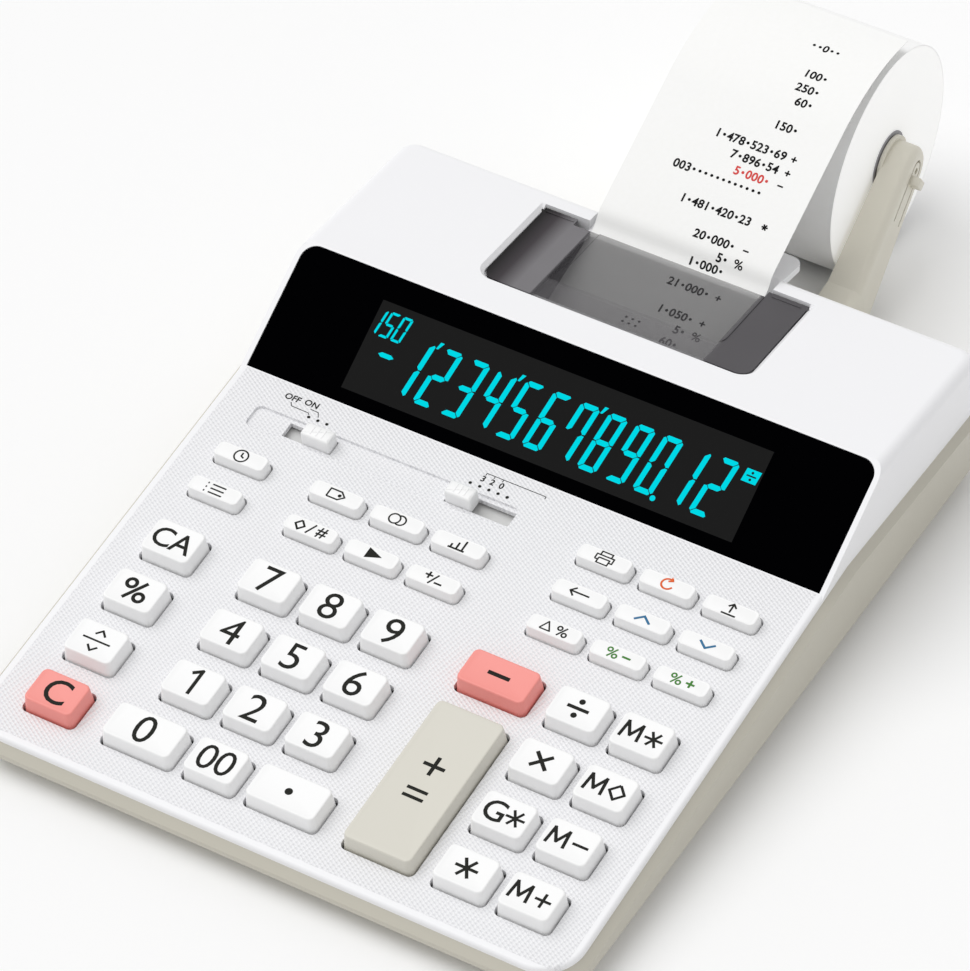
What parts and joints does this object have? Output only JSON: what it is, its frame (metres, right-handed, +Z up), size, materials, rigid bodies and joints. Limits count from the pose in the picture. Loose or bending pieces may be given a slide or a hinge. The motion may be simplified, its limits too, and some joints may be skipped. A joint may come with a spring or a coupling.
{
  "type": "printing desk calculator",
  "caption": "Desk calculator with sloping keyboard, tilted display window, hinged printer cover, and a paper roll on swinging arms behind the case.",
  "frame": {"origin": "on the table, under the middle of the overall footprint", "axes": "+Z up, +Y from the keyboard's front edge to the paper roll, +X to the user's right"},
  "size_m": [0.195, 0.345, 0.0779],
  "materials": {
    "case_white": "fine weave texture on the keyboard face, satin elsewhere",
    "case_beige": "satin",
    "arm_beige": "satin",
    "key_grey": "satin",
    "key_pink": "satin",
    "key_beige": "satin",
    "window_black": "gloss, tinted",
    "lcd_dark": "dark glass with lit digits",
    "cover_smoke": "smoked, half clear",
    "paper_white": "matte",
    "rubber_grey": "matte",
    "rubber_black": "matte",
    "board_green": "satin",
    "frame_steel": "brushed"
  },
  "bodies": {
    "body": {"top_case": "case_white", "bottom_case": "case_beige", "display_window": "window_black", "lcd_module": "lcd_dark", "key_membrane": "rubber_grey", "circuit_board": "board_green", "printer_frame": "frame_steel", "paper_tape": "paper_white", "rubber_feet": "rubber_black"},
    "cover": {"printer_cover": "cover_smoke"},
    "holder": {"roll_arms": "arm_beige"},
    "roll": {"paper_roll": "paper_white"},
    "platen": {"platen_roller": "rubber_black"},
    "ink": {"ink_roller": "rubber_black"},
    "door": {"battery_door": "case_beige"},
    "mode_switch": {"switch_knob_left": "key_grey"},
    "point_switch": {"switch_knob_right": "key_grey"},
    "key_0": {"key_0": "key_grey"},
    "key_00": {"key_00": "key_grey"},
    "key_1": {"key_1": "key_grey"},
    "key_2": {"key_2": "key_grey"},
    "key_3": {"key_3": "key_grey"},
    "key_4": {"key_4": "key_grey"},
    "key_5": {"key_5": "key_grey"},
    "key_6": {"key_6": "key_grey"},
    "key_7": {"key_7": "key_grey"},
    "key_8": {"key_8": "key_grey"},
    "key_9": {"key_9": "key_grey"},
    "key_clear": {"key_clear": "key_pink"},
    "key_clear_all": {"key_clear_all": "key_grey"},
    "key_correct": {"key_correct": "key_grey"},
    "key_cost": {"key_cost": "key_grey"},
    "key_delta_percent": {"key_delta_percent": "key_grey"},
    "key_divide": {"key_divide": "key_grey"},
    "key_feed": {"key_feed": "key_grey"},
    "key_grand_total": {"key_grand_total": "key_grey"},
    "key_item_count": {"key_item_count": "key_grey"},
    "key_margin": {"key_margin": "key_grey"},
    "key_markup": {"key_markup": "key_grey"},
    "key_memory_minus": {"key_memory_minus": "key_grey"},
    "key_memory_plus": {"key_memory_plus": "key_grey"},
    "key_memory_subtotal": {"key_memory_subtotal": "key_grey"},
    "key_memory_total": {"key_memory_total": "key_grey"},
    "key_minus": {"key_minus": "key_pink"},
    "key_multiply": {"key_multiply": "key_grey"},
    "key_percent": {"key_percent": "key_grey"},
    "key_plus_equals": {"key_plus_equals": "key_beige"},
    "key_point": {"key_point": "key_grey"},
    "key_print": {"key_print": "key_grey"},
    "key_reprint": {"key_reprint": "key_grey"},
    "key_sell": {"key_sell": "key_grey"},
    "key_shift_right": {"key_shift_right": "key_grey"},
    "key_sign": {"key_sign": "key_grey"},
    "key_step_down": {"key_step_down": "key_grey"},
    "key_step_up": {"key_step_up": "key_grey"},
    "key_subtotal": {"key_subtotal": "key_grey"},
    "key_tax_minus": {"key_tax_minus": "key_grey"},
    "key_tax_plus": {"key_tax_plus": "key_grey"},
    "key_time": {"key_time": "key_grey"},
    "key_total": {"key_total": "key_grey"}
  },
  "joints": [
    {"name": "cover_hinge", "type": "hinge", "parent": "body", "child": "cover", "pos_m": [0, 0.0599, 0.04448], "axis": [-1, 0, 0], "range_deg": [0, 80]},
    {"name": "holder_hinge", "type": "hinge", "parent": "body", "child": "holder", "pos_m": [0.0012, 0.0805, 0.0119], "axis": [1, 0, 0], "range_deg": [0, 30], "deforming": ["paper_tape"]},
    {"name": "roll_spin", "type": "hinge", "parent": "holder", "child": "roll", "pos_m": [0.0012, 0.1364, 0.0379], "axis": [1, 0, 0], "continuous": true},
    {"name": "platen_spin", "type": "hinge", "parent": "body", "child": "platen", "pos_m": [0.0012, 0.0245, 0.027], "axis": [1, 0, 0], "continuous": true},
    {"name": "ink_spin", "type": "hinge", "parent": "body", "child": "ink", "pos_m": [0.0012, 0.015, 0.0385], "axis": [1, 0, 0], "continuous": true},
    {"name": "door_slide", "type": "slide", "parent": "body", "child": "door", "axis": [-1, 0, 0], "range_m": [0, 0.055]},
    {"name": "mode_slide", "type": "slide", "parent": "body", "child": "mode_switch", "axis": [1, 0, 0], "range_m": [-0.0062, 0]},
    {"name": "point_slide", "type": "slide", "parent": "body", "child": "point_switch", "axis": [1, 0, 0], "range_m": [0, 0.0122]},
    {"name": "key_0_press", "type": "slide", "parent": "body", "child": "key_0", "axis": [0, 0.1167, -0.9932], "range_m": [0, 0.0028], "stiffness_N_per_m": 150, "springref_m": -0.003},
    {"name": "key_00_press", "type": "slide", "parent": "body", "child": "key_00", "axis": [0, 0.1167, -0.9932], "range_m": [0, 0.0028], "stiffness_N_per_m": 150, "springref_m": -0.003},
    {"name": "key_1_press", "type": "slide", "parent": "body", "child": "key_1", "axis": [0, 0.1167, -0.9932], "range_m": [0, 0.0028], "stiffness_N_per_m": 150, "springref_m": -0.003},
    {"name": "key_2_press", "type": "slide", "parent": "body", "child": "key_2", "axis": [0, 0.1167, -0.9932], "range_m": [0, 0.0028], "stiffness_N_per_m": 150, "springref_m": -0.003},
    {"name": "key_3_press", "type": "slide", "parent": "body", "child": "key_3", "axis": [0, 0.1167, -0.9932], "range_m": [0, 0.0028], "stiffness_N_per_m": 150, "springref_m": -0.003},
    {"name": "key_4_press", "type": "slide", "parent": "body", "child": "key_4", "axis": [0, 0.1167, -0.9932], "range_m": [0, 0.0028], "stiffness_N_per_m": 150, "springref_m": -0.003},
    {"name": "key_5_press", "type": "slide", "parent": "body", "child": "key_5", "axis": [0, 0.1167, -0.9932], "range_m": [0, 0.0028], "stiffness_N_per_m": 150, "springref_m": -0.003},
    {"name": "key_6_press", "type": "slide", "parent": "body", "child": "key_6", "axis": [0, 0.1167, -0.9932], "range_m": [0, 0.0028], "stiffness_N_per_m": 150, "springref_m": -0.003},
    {"name": "key_7_press", "type": "slide", "parent": "body", "child": "key_7", "axis": [0, 0.1167, -0.9932], "range_m": [0, 0.0028], "stiffness_N_per_m": 150, "springref_m": -0.003},
    {"name": "key_8_press", "type": "slide", "parent": "body", "child": "key_8", "axis": [0, 0.1167, -0.9932], "range_m": [0, 0.0028], "stiffness_N_per_m": 150, "springref_m": -0.003},
    {"name": "key_9_press", "type": "slide", "parent": "body", "child": "key_9", "axis": [0, 0.1167, -0.9932], "range_m": [0, 0.0028], "stiffness_N_per_m": 150, "springref_m": -0.003},
    {"name": "key_clear_press", "type": "slide", "parent": "body", "child": "key_clear", "axis": [0, 0.1167, -0.9932], "range_m": [0, 0.0028], "stiffness_N_per_m": 150, "springref_m": -0.003},
    {"name": "key_clear_all_press", "type": "slide", "parent": "body", "child": "key_clear_all", "axis": [0, 0.1167, -0.9932], "range_m": [0, 0.0028], "stiffness_N_per_m": 150, "springref_m": -0.003},
    {"name": "key_correct_press", "type": "slide", "parent": "body", "child": "key_correct", "axis": [0, 0.1167, -0.9932], "range_m": [0, 0.0028], "stiffness_N_per_m": 150, "springref_m": -0.003},
    {"name": "key_cost_press", "type": "slide", "parent": "body", "child": "key_cost", "axis": [0, 0.1167, -0.9932], "range_m": [0, 0.0028], "stiffness_N_per_m": 150, "springref_m": -0.003},
    {"name": "key_delta_percent_press", "type": "slide", "parent": "body", "child": "key_delta_percent", "axis": [0, 0.1167, -0.9932], "range_m": [0, 0.0028], "stiffness_N_per_m": 150, "springref_m": -0.003},
    {"name": "key_divide_press", "type": "slide", "parent": "body", "child": "key_divide", "axis": [0, 0.1167, -0.9932], "range_m": [0, 0.0028], "stiffness_N_per_m": 150, "springref_m": -0.003},
    {"name": "key_feed_press", "type": "slide", "parent": "body", "child": "key_feed", "axis": [0, 0.1167, -0.9932], "range_m": [0, 0.0028], "stiffness_N_per_m": 150, "springref_m": -0.003},
    {"name": "key_grand_total_press", "type": "slide", "parent": "body", "child": "key_grand_total", "axis": [0, 0.1167, -0.9932], "range_m": [0, 0.0028], "stiffness_N_per_m": 150, "springref_m": -0.003},
    {"name": "key_item_count_press", "type": "slide", "parent": "body", "child": "key_item_count", "axis": [0, 0.1167, -0.9932], "range_m": [0, 0.0028], "stiffness_N_per_m": 150, "springref_m": -0.003},
    {"name": "key_margin_press", "type": "slide", "parent": "body", "child": "key_margin", "axis": [0, 0.1167, -0.9932], "range_m": [0, 0.0028], "stiffness_N_per_m": 150, "springref_m": -0.003},
    {"name": "key_markup_press", "type": "slide", "parent": "body", "child": "key_markup", "axis": [0, 0.1167, -0.9932], "range_m": [0, 0.0028], "stiffness_N_per_m": 150, "springref_m": -0.003},
    {"name": "key_memory_minus_press", "type": "slide", "parent": "body", "child": "key_memory_minus", "axis": [0, 0.1167, -0.9932], "range_m": [0, 0.0028], "stiffness_N_per_m": 150, "springref_m": -0.003},
    {"name": "key_memory_plus_press", "type": "slide", "parent": "body", "child": "key_memory_plus", "axis": [0, 0.1167, -0.9932], "range_m": [0, 0.0028], "stiffness_N_per_m": 150, "springref_m": -0.003},
    {"name": "key_memory_subtotal_press", "type": "slide", "parent": "body", "child": "key_memory_subtotal", "axis": [0, 0.1167, -0.9932], "range_m": [0, 0.0028], "stiffness_N_per_m": 150, "springref_m": -0.003},
    {"name": "key_memory_total_press", "type": "slide", "parent": "body", "child": "key_memory_total", "axis": [0, 0.1167, -0.9932], "range_m": [0, 0.0028], "stiffness_N_per_m": 150, "springref_m": -0.003},
    {"name": "key_minus_press", "type": "slide", "parent": "body", "child": "key_minus", "axis": [0, 0.1167, -0.9932], "range_m": [0, 0.0028], "stiffness_N_per_m": 150, "springref_m": -0.003},
    {"name": "key_multiply_press", "type": "slide", "parent": "body", "child": "key_multiply", "axis": [0, 0.1167, -0.9932], "range_m": [0, 0.0028], "stiffness_N_per_m": 150, "springref_m": -0.003},
    {"name": "key_percent_press", "type": "slide", "parent": "body", "child": "key_percent", "axis": [0, 0.1167, -0.9932], "range_m": [0, 0.0028], "stiffness_N_per_m": 150, "springref_m": -0.003},
    {"name": "key_plus_equals_press", "type": "slide", "parent": "body", "child": "key_plus_equals", "axis": [0, 0.1167, -0.9932], "range_m": [0, 0.0028], "stiffness_N_per_m": 150, "springref_m": -0.003},
    {"name": "key_point_press", "type": "slide", "parent": "body", "child": "key_point", "axis": [0, 0.1167, -0.9932], "range_m": [0, 0.0028], "stiffness_N_per_m": 150, "springref_m": -0.003},
    {"name": "key_print_press", "type": "slide", "parent": "body", "child": "key_print", "axis": [0, 0.1167, -0.9932], "range_m": [0, 0.0028], "stiffness_N_per_m": 150, "springref_m": -0.003},
    {"name": "key_reprint_press", "type": "slide", "parent": "body", "child": "key_reprint", "axis": [0, 0.1167, -0.9932], "range_m": [0, 0.0028], "stiffness_N_per_m": 150, "springref_m": -0.003},
    {"name": "key_sell_press", "type": "slide", "parent": "body", "child": "key_sell", "axis": [0, 0.1167, -0.9932], "range_m": [0, 0.0028], "stiffness_N_per_m": 150, "springref_m": -0.003},
    {"name": "key_shift_right_press", "type": "slide", "parent": "body", "child": "key_shift_right", "axis": [0, 0.1167, -0.9932], "range_m": [0, 0.0028], "stiffness_N_per_m": 150, "springref_m": -0.003},
    {"name": "key_sign_press", "type": "slide", "parent": "body", "child": "key_sign", "axis": [0, 0.1167, -0.9932], "range_m": [0, 0.0028], "stiffness_N_per_m": 150, "springref_m": -0.003},
    {"name": "key_step_down_press", "type": "slide", "parent": "body", "child": "key_step_down", "axis": [0, 0.1167, -0.9932], "range_m": [0, 0.0028], "stiffness_N_per_m": 150, "springref_m": -0.003},
    {"name": "key_step_up_press", "type": "slide", "parent": "body", "child": "key_step_up", "axis": [0, 0.1167, -0.9932], "range_m": [0, 0.0028], "stiffness_N_per_m": 150, "springref_m": -0.003},
    {"name": "key_subtotal_press", "type": "slide", "parent": "body", "child": "key_subtotal", "axis": [0, 0.1167, -0.9932], "range_m": [0, 0.0028], "stiffness_N_per_m": 150, "springref_m": -0.003},
    {"name": "key_tax_minus_press", "type": "slide", "parent": "body", "child": "key_tax_minus", "axis": [0, 0.1167, -0.9932], "range_m": [0, 0.0028], "stiffness_N_per_m": 150, "springref_m": -0.003},
    {"name": "key_tax_plus_press", "type": "slide", "parent": "body", "child": "key_tax_plus", "axis": [0, 0.1167, -0.9932], "range_m": [0, 0.0028], "stiffness_N_per_m": 150, "springref_m": -0.003},
    {"name": "key_time_press", "type": "slide", "parent": "body", "child": "key_time", "axis": [0, 0.1167, -0.9932], "range_m": [0, 0.0028], "stiffness_N_per_m": 150, "springref_m": -0.003},
    {"name": "key_total_press", "type": "slide", "parent": "body", "child": "key_total", "axis": [0, 0.1167, -0.9932], "range_m": [0, 0.0028], "stiffness_N_per_m": 150, "springref_m": -0.003}
  ],
  "couplings": [
    {"joint": "platen_spin", "follows": "roll_spin", "ratio": 5.4697}
  ]
}
